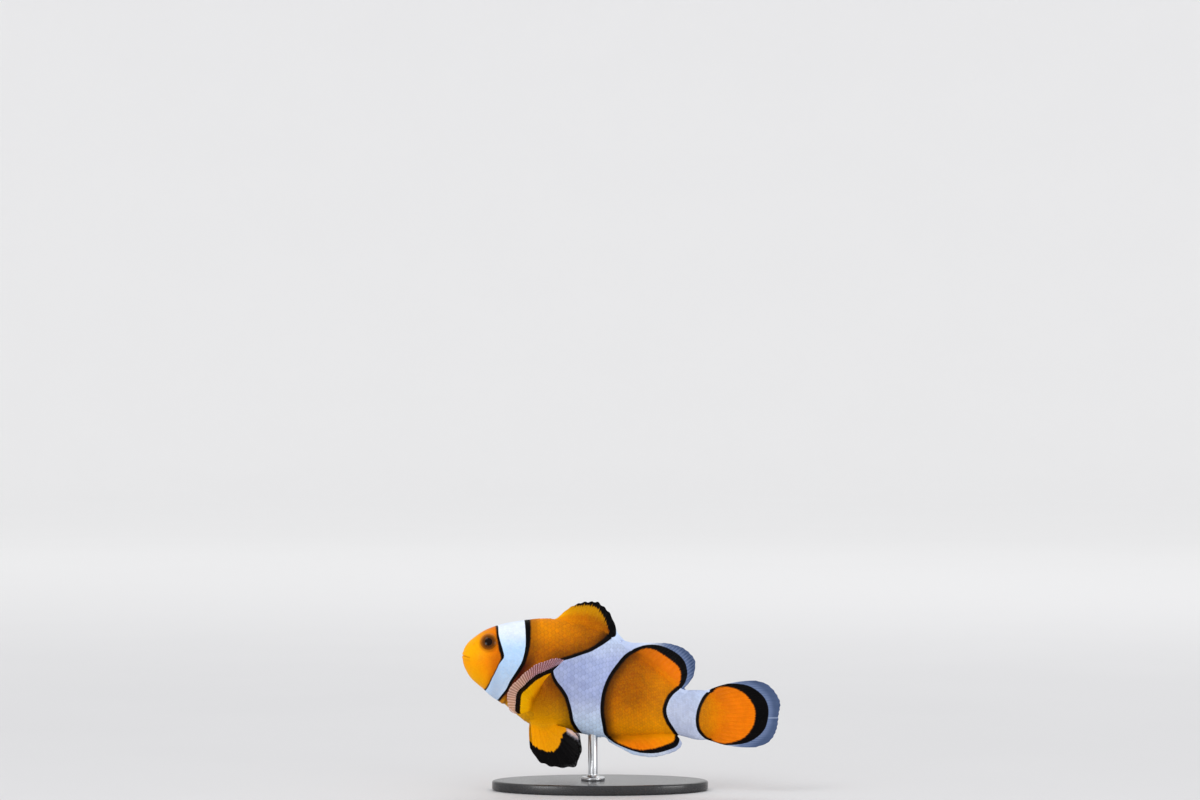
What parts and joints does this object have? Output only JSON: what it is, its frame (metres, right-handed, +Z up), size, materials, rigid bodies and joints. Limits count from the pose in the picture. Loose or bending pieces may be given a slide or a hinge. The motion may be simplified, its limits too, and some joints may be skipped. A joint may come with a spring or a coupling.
{
  "type": "clownfish",
  "caption": "Still, life-size clownfish in a gentle swimming bend with spread fins, white bars and black-edged orange skin, held over an oval base by one short rod.",
  "frame": {"origin": "centre of the underside of the stand's base", "axes": "+Z up, -Y the way the fish heads, +X the fish's left side"},
  "size_m": [0.0426, 0.079, 0.0472],
  "materials": {
    "skin": "moist satin fish skin under small flat scales: orange turning yellow on the face and belly, with three bluish-white bars edged in black",
    "fin": "satin orange fin membrane over fine rays, with a black band and a thin see-through bluish-grey rim",
    "eye": "clear wet gloss over a black pupil and a dark orange-brown iris",
    "stand_base": "satin black acrylic with a fine chamfer",
    "stand_rod": "fine brushed stainless steel"
  },
  "bodies": {
    "root": {"head": "skin", "trunk": "skin", "tail_stalk": "skin", "fin_dorsal_spiny": "fin", "fin_dorsal_soft": "fin", "fin_anal": "fin", "fin_caudal": "fin", "fin_pectoral_left": "fin", "fin_pectoral_right": "fin", "fin_pelvic_left": "fin", "fin_pelvic_right": "fin", "eye_left": "eye", "eye_right": "eye", "stand_base": "stand_base", "stand_rod": "stand_rod"}
  },
  "joints": []
}
